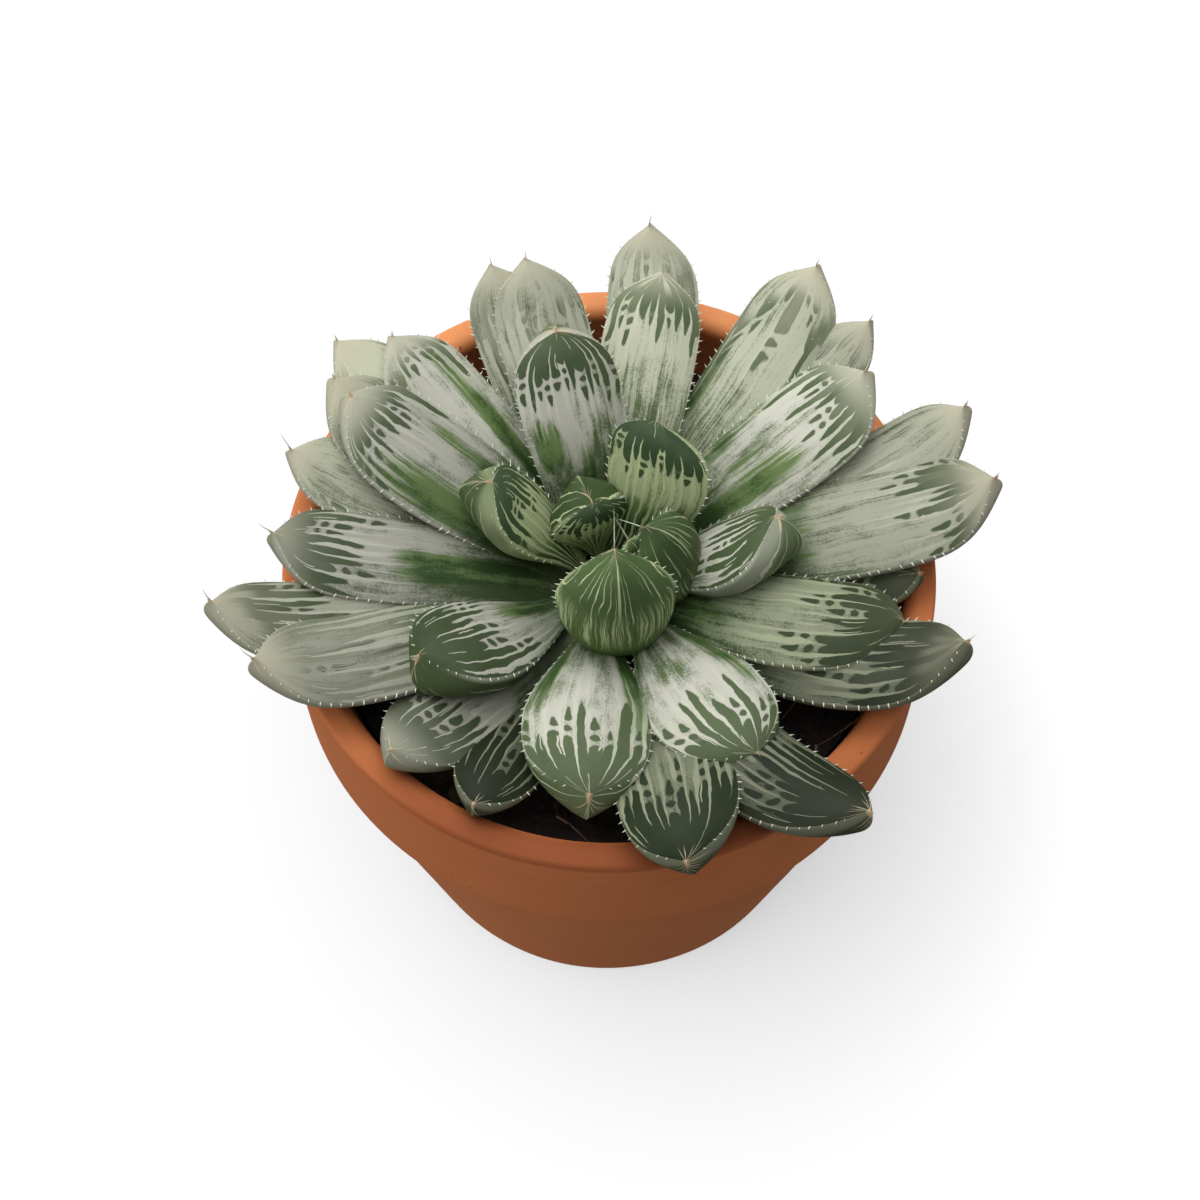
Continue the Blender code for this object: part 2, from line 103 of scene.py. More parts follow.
# The leaves are the CAD's, from the heart outwards. Their azimuths and reaches were worked out from the tips'
# places in the photograph, and rounded; nine were then moved.
LEAVES = [
    (Leaf(319, 3.3, 10, 85, 95, 5, 0, 0),
     Look(HEART, 0.5, 0.1, 0.2, 1.3, 0.9, 0.16, 5, 0.9, 0, 0.8, 3, 0.74, ())),
    (Leaf(275, 7.2, 17, 0, 110, 16, 0, 0, "bulb"),
     Look(HEART, 0.68, 0, 0.14, 1.3, 0.93, 0.14, 16, 0.75, 0, 1, 4.5, 1, ())),
    (Leaf(350, 4.5, 11, 10, 140, 13.2, -1, -20, "bulb"),
     Look(HEART, 0.6, 0, 0.2, 1.3, 0.9, 0.12, 9, 0.7, 0, 1, 2.5, 0.74, ())),
    (Leaf(116, 5.2, 8, 70, 80, 12.2, 0, 0, "bulb"),
     Look(HEART, 0.55, 0, 0.2, 1.3, 0.9, 0.13, 11, 0.95, 0, 1, 0, 0.74, ())),
    (Leaf(64, 14.5, 15.5, 65, 25, 14.5, -2.5, 0, "spoon"),
     Look(HEART, 0.62, 0, 0.16, 1.3, 0.86, 0.15, 11, 1, 0, 0.6, 1.5, 0.74, ((0, 1.2, 0, 0.5, 0.75),))),
    (Leaf(161, 16.5, 12.5, 60, 75, 12, 0, 25, "wedge"),
     Look(HEART, 0.6, 0.1, 0.2, 1.3, 0.9, 0.16, 9, 0.7, 0, 0.8, 2, 0.66, ((0.2, 0.8, 0, 0.45, 0.6),))),
    (Leaf(0.5, 22, 12.5, 50, 60, 12.3, -2, -26, "wedge"),
     Look(CREAM, 0.52, 0.1, 0.2, 1.3, 0.9, 0.17, 9, 0.75, 0, 0.8, 0, 0.7, ())),
    (Leaf(301.5, 36.5, 6, 35, 5, 16.2, -1.5, 0, "egg"),
     Look(CREAM, 0.68, 0.04, 0.22, 1.3, 0.95, 0.16, 9, 0.55, 0.08, 1, 0, 0.74, (
         (0.75, 0.3, 0.25, 0.75, 0.6),
         (-0.8, 0.2, 0.1, 0.5, 0.5),
     ))),
    (Leaf(266, 37, 6, 35, 8, 17, -1.2, 0, "egg"),
     Look(CREAM, 0.66, 0.06, 0.2, 1.3, 0.95, 0.16, 9, 0.6, 0.08, 1, 0, 0.72, (
         (0.8, 0.28, 0.2, 0.8, 0.75),
         (-0.8, 0.2, 0.25, 0.6, 0.6),
         (0.1, 0.5, 0, 0.45, 0.5),
     ))),
    (Leaf(105, 28, 16, 55, 50, 14.5, 0, 0),
     Look(CREAM, 0.62, 0.02, 0.1, 1.3, 0.95, 0.2, 12, 0.9, 0.05, 0.6, 0.6, 0.62, (
         (0.6, 0.35, 0.3, 0.62, 0.9),
         (-0.1, 0.2, 0, 0.5, 0.75),
         (-0.6, 0.3, 0, 0.45, 0.75),
     ))),
    (Leaf(216, 31, 8, 20, 10, 15, 1, 15, "wedge"),
     Look(CREAM, 0.5, 0.12, 0.2, 1.3, 0.85, 0.17, 10, 0.8, 0, 1, 0.5, 0.51, ((-0.35, 0.4, 0.1, 0.55, 0.8),))),
    (Leaf(32, 41, 14, 45, 50, 14.5, -1, 0, "pointed"),
     Look(CREAM, 0.66, 0.05, 0.16, 1.3, 0.86, 0.2, 11, 0.6, 0.5, 0.4, 3, 0.78, (
         (-0.35, 0.4, 0.15, 0.68, 0.8),
         (0.75, 0.2, 0.1, 0.6, 0.6),
         (0.2, 0.3, 0.3, 0.6, 0.45),
     ))),
    (Leaf(152, 39.5, 13, 45, 40, 15, 1.5, 0),
     Look(CREAM, 0.72, 0.1, 0.18, 1.3, 0.9, 0.2, 11, 0.5, 0.5, 0.4, 0.6, 0.53, (
         (0.6, 0.4, 0.05, 0.8, 1),
         (-0.55, 0.2, 0.15, 0.75, 0.7),
         (0, 0.15, 0.1, 0.4, 0.5),
     ))),
    (Leaf(342, 41, 7, 45, -5, 13.5, -4, 0),
     Look(SHADE, 0.62, 0.05, 0.24, 1.3, 0.9, 0.15, 10, 0.6, 0.15, 0.6, 0, 0.54, ((0, 1.2, 0, 0.45, 0.6),))),
    (Leaf(79, 39, 14, 50, 45, 13.5, 0, 0, "pointed"),
     Look(SILVER, 0.72, 0.08, 0.16, 0.97, 0.9, 0.2, 10, 0.7, 0.3, 0.3, 1, 0.8, (
         (0.75, 0.15, 0.2, 0.7, 0.6),
         (-0.6, 0.12, 0.4, 0.7, 0.4),
         (0, 1.2, 0, 0.4, 0.45),
     ))),
    (Leaf(7, 52, 12, 42, 40, 15, -2, 0, "pointed"),
     Look(SILVER, 0.72, 0.05, 0.2, 0.93, 0.88, 0.2, 11, 0.6, 0.6, 0.3, 0.8, 0.51, ((0, 1.4, 0, 0.5, 0.56),))),
    (Leaf(180.5, 45, 9, 44, 35, 13, 2, 0, "pointed"),
     Look(CREAM, 0.68, 0.05, 0.2, 1.3, 0.85, 0.18, 9, 0.65, 0.35, 0.4, 2.5, 0.44, (
         (0.25, 0.5, 0.05, 0.62, 1),
         (-0.7, 0.25, 0.1, 0.5, 0.6),
     ))),
    (Leaf(54, 49.5, 13, 42, 45, 13.5, -1.5, 0, "pointed"),
     Look(SILVER, 0.68, 0.2, 0.3, 0.82, 0.8, 0.25, 8, 0.7, 0.66, 0.2, 0.8, 0.68, (
         (0.85, 0.2, 0.3, 0.7, 0.6),
         (-0.8, 0.2, 0.4, 0.9, 0.8),
         (0, 1.2, 0, 0.4, 0.45),
     ))),
    (Leaf(136, 41.5, 12, 42, 45, 12.5, 0, 0, "pointed"),
     Look(CREAM, 0.75, 0.05, 0.2, 0.93, 0.9, 0.22, 9, 0.4, 0.6, 0.2, 0.5, 0.7, (
         (-0.45, 0.25, 0.1, 0.95, 1),
     ))),
    (Leaf(281.5, 47.6, 7.8, 12, 2, 16, 1.5, 10),
     Look(SHADE, 0.66, 0.1, 0.2, 1.3, 0.9, 0.15, 11, 0.7, 0, 0.7, 0, 0.38, ((0, 1.4, 0, 0.55, 0.45),))),
    (Leaf(227, 41.5, 5.3, 12, 30, 13, 1, 0),
     Look(CREAM, 0.6, 0.1, 0.2, 1.3, 0.86, 0.15, 9, 0.7, 0.4, 0.9, 0.6, 0.41, ())),
    (Leaf(106, 42, 14, 45, 45, 13, 0, 0, "pointed"),
     Look(SILVER, 0.7, 0.1, 0.3, 0.8, 0.8, 0.25, 9, 0.5, 0.8, 0.1, 0.8, 0.56, ((0, 1.2, 0, 0.6, 0.5),))),
    (Leaf(309, 52, 9.3, 28, 27, 13, -6, 0),
     Look(SHADE, 0.6, 0.05, 0.3, 1.3, 0.9, 0.15, 10, 0.7, 0.1, 0.5, 0, 0.2, ((0, 1.4, 0, 0.55, 0.5),))),
    (Leaf(340, 49.5, 10, 38, 40, 13.5, -6, 0, "pointed"),
     Look(SHADE, 0.6, 0.05, 0.2, 0.93, 0.86, 0.16, 9, 0.7, 0.4, 0.4, 1.5, 0.26, ((0, 1.4, 0, 0.5, 0.5),))),
    (Leaf(203, 50, 10, 42, 40, 13.5, 3, 0, "pointed"),
     Look(SILVER, 0.55, 0.05, 0.4, 0.82, 0.8, 0.25, 10, 0.5, 0.95, 0.2, 4, 0.39, ((0, 1.4, 0, 0.6, 0.6),))),
    (Leaf(20, 51.5, 12, 40, 50, 12, -3, 0, "pointed"),
     Look(SILVER, 0.6, 0.05, 0.3, 0.75, 0.8, 0.25, 8, 0.5, 1, 0.2, 0.8, 0.56, ())),
    (Leaf(83, 46.5, 14, 42, 50, 13, -2, 0, "pointed"),
     Look(SILVER, 0.75, 0.1, 0.2, 0.8, 0.9, 0.25, 8, 0.4, 0.9, 0.2, 1.5, 0.61, ())),
    (Leaf(192, 53.5, 10, 42, 50, 12, 3.5, 0, "pointed"),
     Look(SILVER, 0.6, 0.05, 0.2, 0.88, 0.84, 0.22, 9, 0.7, 0.55, 0.2, 2.5, 0.42, ((0, 1.4, 0, 0.55, 0.6),))),
    (Leaf(149, 44, 11, 38, 45, 13, 2, 0, "pointed"),
     Look(SILVER, 0.7, 0.1, 0.3, 0.8, 0.8, 0.25, 8, 0.4, 1, 0.2, 0.5, 0.56, ())),
    (Leaf(112, 44, 12, 40, 45, 11.5, 0, 0, "pointed"),
     Look(SILVER, 0.7, 0.1, 0.3, 0.8, 0.8, 0.25, 8, 0.5, 0.9, 0.2, 0.8, 0.53, ((0, 1.2, 0, 0.6, 0.6),))),
    (Leaf(41, 48, 12, 40, 45, 10.5, 0, 0, "pointed"),
     Look(SILVER, 0.75, 0.1, 0.3, 0.84, 0.8, 0.25, 7, 0.6, 0.9, 0.2, 0.8, 0.56, ())),
    (Leaf(245, 41.3, 4.2, 12, 18, 11.6, 0, 0),
     Look(SHADE, 0.55, 0.05, 0.3, 1.3, 0.9, 0.13, 8, 0.6, 0, 0.4, 0, 0.23, ())),
    (Leaf(142, 48, 10, 38, 40, 11.5, 0, 0, "pointed"),
     Look(SILVER, 0.75, 0.1, 0.3, 0.8, 0.8, 0.25, 7, 0.4, 1, 0.2, 0.5, 0.8, ((-0.3, 0.15, 0.4, 0.7, 0.8),))),
    (Leaf(164, 45, 9, 38, 45, 11.5, 0, 0, "pointed"),
     Look(SILVER, 0.8, 0.1, 0.3, 0.8, 0.8, 0.25, 7, 0.4, 1, 0.5, 3, 0.62, ())),
    (Leaf(354, 42, 5, 35, 20, 11.5, 0, 0),
     Look(SHADE, 0.6, 0.1, 0.3, 1.3, 0.8, 0.15, 8, 0.7, 0.2, 0.5, 0, 0.33, ())),
]

# ---------------------------------------------------------------- detail that the looks add

AROUND = 40  # points round a leaf
ALONG = 84  # steps from its base to its tip
SKIN, SPINE = range(2)  # a leaf's materials
TOOTH_GAP = 1.35 * MM
TOOTH_LENGTH = 0.72 * MM
TOOTH_BASE = 0.13 * MM
FIRST_TOOTH = 0.2
LAST_TOOTH = 0.965
TOOTH_SEARCH = 0.004
AWN_RADIUS = 0.10 * MM
POT_STEPS = 180
POT_EDGE = 2 * MM
SOIL_RINGS = 46
SOIL_STEPS = 180
SOIL_LUMP = 0.55 * MM
GRAINS = 900
MIX, PALE_GRAIN, DEAD_LEAF, STALK = range(4)  # the soil's materials
# Dead leaf scraps on the potting mix, each (place, radius, stretch), and dry stalks, each (start, end,
# radius, bend), in millimetres.
WITHERED = [
    ((-22.6, -28.0, 69.6), 2.2, (1.0, 0.7, 0.5)),
    ((-20.2, -30.4, 69.6), 1.9, (0.8, 1.1, 0.5)),
    ((-24.4, -26.4, 69.4), 1.4, (1.0, 1.0, 0.6)),
]
STALKS = [
    ((29.2, -13.0, 69.6), (22.4, -21.2, 69.3), 0.22, (0.6, 0.2, 0.5)),
    ((34.8, -19.4, 69.5), (28.2, -24.9, 69.3), 0.20, (-0.4, 0.5, 0.4)),
    ((-7.1, -34.1, 69.2), (-1.9, -37.2, 69.2), 0.22, (-0.5, -1.2, 0.3)),
]


def blend(a, b, share):
    return a + (b - a) * share


def clamp(value, low=0.0, high=1.0):
    return min(max(value, low), high)


def ease(share):
    share = clamp(share)
    return share * share * (3 - 2 * share)


def add_piece(name, mesh, replaced=()):
    piece = bpy.data.objects.new(name, mesh)
    bpy.context.scene.collection.objects.link(piece)
    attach(piece, "root")
    if replaced:
        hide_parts(*replaced)
    return piece


# ---------------------------------------------------------------- leaf shapes


def stem_radius(height):
    down = (POT_HEIGHT - HEART_DROP - height) / STEM_TAPER
    return blend(STEM_TOP_RADIUS, STEM_RADIUS, clamp(down))


def half_width_at(form, t):
    if t < form.widest:
        return blend(form.base, 1, math.sin(t / form.widest * math.pi / 2) ** form.flare)
    return (1 - ((t - form.widest) / (1 - form.widest)) ** form.power) ** form.cusp


def belly_at(form, t):
    closing = max(0, (t - form.widest) / (1 - form.widest))
    return blend(0.45, 1, ease(t / 0.5)) * math.sqrt(1 - min(1, closing) ** 3)


def crown_at(t):
    return ease(t / 0.6) * (1 - max(0, (t - 0.7) / 0.3) ** 2.5)


def section_point(form, angle, t, width):
    side, up = math.cos(angle), math.sin(angle)
    sideways = side * half_width_at(form, t) * width / 2
    if up >= 0:
        return sideways, up * up * crown_at(t) * CROWN * width, 0
    keeled = ease((t - 0.55) / 0.35)
    depth = blend((-up) ** 0.85, 1 - abs(side), keeled * KEEL)
    down = depth * belly_at(form, t) * form.belly * width
    return sideways, -down, form.prow * keeled * down


def midrib(leaf, rank):
    seat = POT_HEIGHT - HEART_DROP - rank * WHORL_DROP
    start = Vector((stem_radius(seat) + SEAT_OUT, seat))
    end = Vector((leaf.reach * MM, POT_HEIGHT + leaf.height * MM))
    rise, nod = math.radians(leaf.rise), math.radians(leaf.nod)
    span = max((end - start).length, leaf.width * MM)
    leave = start + ROOT_PULL * span * Vector((math.cos(rise), math.sin(rise)))
    arrive = end - TIP_PULL * span * Vector((math.cos(nod), math.sin(nod)))
    return start, leave, arrive, end


def along(handles, t):
    a, b, c, d = handles
    s = 1 - t
    point = a * s**3 + b * (3 * s * s * t) + c * (3 * s * t * t) + d * t**3
    heading = (b - a) * (s * s) + (c - b) * (2 * s * t) + (d - c) * (t * t)
    return point, heading.normalized()


class Blade:
    """A leaf's surface: place(angle, t) gives its point, and axes(t) its directions."""

    def __init__(self, leaf, rank):
        self.leaf = leaf
        self.handles = midrib(leaf, rank)
        azimuth = math.radians(leaf.azimuth)
        self.outward = Vector((math.cos(azimuth), math.sin(azimuth), 0))
        self.across = Vector((-math.sin(azimuth), math.cos(azimuth), 0))
        self.seed = rank * 7.31

    def axes(self, t):
        point, heading = along(self.handles, t)
        forward = heading.x * self.outward + Vector((0, 0, heading.y))
        normal = -heading.y * self.outward + Vector((0, 0, heading.x))
        turn = Matrix.Rotation(math.radians(self.leaf.roll) * t, 3, forward)
        centre = point.x * self.outward + Vector((0, 0, point.y))
        centre = centre + self.across * (self.leaf.bow * MM * 4 * t * (1 - t))
        return centre, turn @ self.across, turn @ normal, forward

    def place(self, angle, t):
        centre, across, normal, forward = self.axes(t)
        sideways, up, lead = section_point(FORMS[self.leaf.form], angle, t, self.leaf.width * MM)
        spot = centre + across * sideways + normal * up + forward * lead
        wave = noise.noise(Vector((math.cos(angle) * 0.9, t * 2.2, self.seed)))
        return spot + normal * wave * 0.25 * MM * ease(t / 0.3) * (1 - t**6)


def add_cone(made, root, direction, length, radius, bend, sides, material, steps=3):
    """A closed, slightly curved spine."""
    direction = direction.normalized()
    side = direction.orthogonal().normalized()
    other = direction.cross(side)
    rings = []
    for i in range(steps):
        share = i / steps
        centre = root + direction * length * share + bend * share * share
        size = radius * (1 - share) ** 0.8
        rings.append([
            made.verts.new(centre + side * size * math.cos(a) + other * size * math.sin(a))
            for a in (2 * math.pi * k / sides for k in range(sides))
        ])
    tip = made.verts.new(root + direction * length + bend)
    faces = [made.faces.new(list(reversed(rings[0])))]
    around = [(k, (k + 1) % sides) for k in range(sides)]
    for low, high in zip(rings, rings[1:]):
        faces += [made.faces.new((low[k], low[n], high[n], high[k])) for k, n in around]
    faces += [made.faces.new((rings[-1][k], rings[-1][n], tip)) for k, n in around]
    for face in faces:
        face.material_index = material
        face.smooth = True


def green_at(look, side, t):
    """How green the streaks make a point of the upper face."""
    amount = 0
    for centre, half, start, end, strength in look.greens:
        across = ease((half - abs(side - centre)) / half * 1.6)
        run = ease((t - start) / 0.12) * ease((end - t) / 0.18) if start > 0 else ease((end - t) / 0.18)
        amount = max(amount, across * run * strength)
    return amount


def make_leaf(rank, leaf, look, skins):
    name = f"leaf_{rank + 1:02d}"
    blade = Blade(leaf, rank)
    draw = random.Random(rank)
    made = bmesh.new()
    uv = made.loops.layers.uv.new("leaf")
    paint = made.loops.layers.float_color.new("paint")
    places = [1 - (1 - i / ALONG) ** 1.45 for i in range(ALONG + 1)]
    rings = []
    for t in places[1:-1]:
        rings.append([made.verts.new(blade.place(2 * math.pi * k / AROUND, t)) for k in range(AROUND)])
    root = made.verts.new(blade.axes(0)[0])
    centre, _, _, forward = blade.axes(1)
    tip = made.verts.new(centre + forward * 0.8 * MM)

    def finish(face, corners):
        """corners: (around, along) of each corner, in steps."""
        middle = sum(k for k, _ in corners) / len(corners)
        below = 1 if middle > AROUND / 2 else 0
        for loop, (k, i) in zip(face.loops, corners):
            side = math.cos(2 * math.pi * k / AROUND)
            t = places[i]
            loop[uv].uv = (0.5 + 0.5 * side, t)
            loop[paint] = (0 if below else green_at(look, side, t), below, 0, 1)
        face.smooth = True

    for i, (low, high) in enumerate(zip(rings, rings[1:]), start=1):
        for k in range(AROUND):
            n = (k + 1) % AROUND
            face = made.faces.new((low[k], low[n], high[n], high[k]))
            finish(face, ((k, i), (k + 1, i), (k + 1, i + 1), (k, i + 1)))
    for k in range(AROUND):
        n = (k + 1) % AROUND
        finish(made.faces.new((rings[0][n], rings[0][k], root)), ((k + 1, 1), (k, 1), (k + 0.5, 0)))
        corners = ((k, ALONG - 1), (k + 1, ALONG - 1), (k + 0.5, ALONG))
        finish(made.faces.new((rings[-1][k], rings[-1][n], tip)), corners)
    add_teeth(made, blade, draw)
    add_awn(made, blade, look, draw)
    mesh = bpy.data.meshes.new(name + "_skin")
    made.to_mesh(mesh)
    made.free()
    mesh.set_sharp_from_angle(angle=math.radians(110))
    mesh.materials.append(skins[rank])
    mesh.materials.append(skins["tooth"])
    return add_piece(name + "_skin", mesh, [name])


def add_teeth(made, blade, draw):
    for angle in (0, math.pi):
        t, last = FIRST_TOOTH, blade.place(angle, FIRST_TOOTH)
        gap = TOOTH_GAP
        while t < LAST_TOOTH:
            t += TOOTH_SEARCH
            spot = blade.place(angle, t)
            if (spot - last).length < gap:
                continue
            last = spot
            gap = TOOTH_GAP * draw.uniform(0.75, 1.3)
            _, across, normal, forward = blade.axes(t)
            outward = across * math.copysign(1, math.cos(angle))
            size = draw.uniform(0.75, 1.15) * ease(t / 0.4) * blend(1, 0.7, ease((t - 0.7) / 0.3))
            direction = outward + forward * draw.uniform(0.15, 0.55) + normal * draw.uniform(-0.1, 0.25)
            root = spot - outward * 0.12 * MM - normal * 0.05 * MM
            add_cone(made, root, direction, TOOTH_LENGTH * size, TOOTH_BASE * size, forward * 0.12 * MM, 5, SPINE)


def add_awn(made, blade, look, draw):
    if not look.awn:
        return
    centre, across, normal, forward = blade.axes(1)
    direction = forward + normal * draw.uniform(0.2, 0.5) + across * draw.uniform(-0.2, 0.2)
    length = look.awn * MM
    bend = normal * length * 0.25
    root = centre + forward * 0.2 * MM
    add_cone(made, root, direction, length + 0.6 * MM, AWN_RADIUS, bend, 6, SPINE, steps=6)


# ---------------------------------------------------------------- materials


class Graph:
    """Short calls for building a node tree."""

    def __init__(self, tree):
        self.tree = tree

    def node(self, kind, **settings):
        made = self.tree.nodes.new(kind)
        for key, value in settings.items():
            setattr(made, key, value)
        return made

    def plug(self, socket, value):
        if isinstance(value, bpy.types.NodeSocket):
            self.tree.links.new(value, socket)
        elif isinstance(value, (tuple, list)) and len(value) == 3 and socket.type == "RGBA":
            socket.default_value = (*value, 1)
        else:
            socket.default_value = value

    def math(self, operation, *values, clamped=False):
        made = self.node("ShaderNodeMath", operation=operation, use_clamp=clamped)
        for socket, value in zip(made.inputs, values):
            self.plug(socket, value)
        return made.outputs[0]

    def add(self, a, b):
        return self.math("ADD", a, b)

    def sub(self, a, b):
        return self.math("SUBTRACT", a, b)

    def mul(self, a, b):
        return self.math("MULTIPLY", a, b)

    def step(self, value, low, high, smooth=True):
        """0 below low and 1 above high. Low above high gives a falling step."""
        made = self.node("ShaderNodeMapRange", interpolation_type="SMOOTHSTEP" if smooth else "LINEAR")
        for socket, given in zip(made.inputs, (value, low, high, 0, 1)):
            self.plug(socket, given)
        return made.outputs[0]

    def mix(self, share, a, b, kind="MIX"):
        made = self.node("ShaderNodeMix", data_type="RGBA", blend_type=kind, clamp_factor=True)
        self.plug(made.inputs["Factor"], share)
        self.plug(made.inputs[6], a)
        self.plug(made.inputs[7], b)
        return made.outputs[2]

    def split(self, kind, value):
        """The outputs of a Separate XYZ or Separate Color node."""
        made = self.node("ShaderNodeSeparate" + kind)
        self.plug(made.inputs[0], value)
        return made.outputs

    def place(self):
        """The point's coordinates on its object."""
        return self.node("ShaderNodeTexCoord").outputs["Object"]

    def specks(self, spot, scale, radius, core, least):
        """Scattered round specks. least sets the share of the cells that have none."""
        cells = self.node("ShaderNodeTexVoronoi", feature="F1")
        self.plug(cells.inputs["Vector"], spot)
        self.plug(cells.inputs["Scale"], scale)
        share = self.split("Color", cells.outputs["Color"])[0]
        present = self.step(share, least, least + 0.02)
        return self.mul(self.step(cells.outputs["Distance"], radius, core), present)

    def bump(self, shader, height, strength, distance):
        made = self.node("ShaderNodeBump")
        self.plug(made.inputs["Height"], height)
        self.plug(made.inputs["Strength"], strength)
        self.plug(made.inputs["Distance"], distance)
        self.plug(shader.inputs["Normal"], made.outputs[0])

    def vector(self, x, y, z=0.0):
        made = self.node("ShaderNodeCombineXYZ")
        for socket, value in zip(made.inputs, (x, y, z)):
            self.plug(socket, value)
        return made.outputs[0]

    def noise(self, vector, scale=1.0, detail=2.0, rough=0.5, w=None):
        made = self.node("ShaderNodeTexNoise", noise_dimensions="3D" if w is None else "4D")
        self.plug(made.inputs["Vector"], vector)
        if w is not None:
            self.plug(made.inputs["W"], w)
        self.plug(made.inputs["Scale"], scale)
        self.plug(made.inputs["Detail"], detail)
        self.plug(made.inputs["Roughness"], rough)
        return made.outputs["Fac"]

    def chance(self, index):
        """Three random numbers for a whole number."""
        made = self.node("ShaderNodeTexWhiteNoise", noise_dimensions="1D")
        self.plug(made.inputs["W"], index)
        parts = self.split("Color", made.outputs["Color"])
        return parts[0], parts[1], parts[2]


def srgb(r, g, b):
    """A linear colour from 8-bit sRGB."""
    return tuple((c / 255 / 12.92) if c <= 10 else ((c / 255 + 0.055) / 1.055) ** 2.4 for c in (r, g, b))


SKIN_INPUTS = (
    "Seed", "Start", "Edge", "Spread", "End", "Reach", "Line",
    "Cells", "Window", "Tip", "Under", "Stripy", "Tone",
)
SKIN_COLOURS = ("Light", "Stripe", "Shallow", "Deep", "Vein", "Pale", "Below")
STRIPY = {CREAM: 0.2, SILVER: 0.75, HEART: 0.8, SHADE: 0.55}  # how far the body is striped, and not mottled
PALETTES = {
    # light body, darker body stripes, window's shallow and deep colours, veins, tip, underside
    CREAM: ((222, 221, 207), (104, 124, 76), (112, 128, 90), (66, 86, 50), (217, 219, 199), (203, 203, 181),
            (108, 128, 74)),
    SILVER: ((215, 219, 193), (106, 122, 80), (120, 134, 98), (68, 90, 54), (214, 215, 194), (206, 203, 178),
             (176, 176, 148)),
    HEART: ((190, 202, 154), (88, 112, 56), (98, 118, 82), (44, 68, 38), (202, 212, 164), (150, 168, 124),
            (80, 102, 50)),
    SHADE: ((182, 190, 156), (70, 88, 46), (80, 98, 60), (44, 62, 32), (194, 200, 166), (166, 166, 138),
            (96, 112, 72)),
}


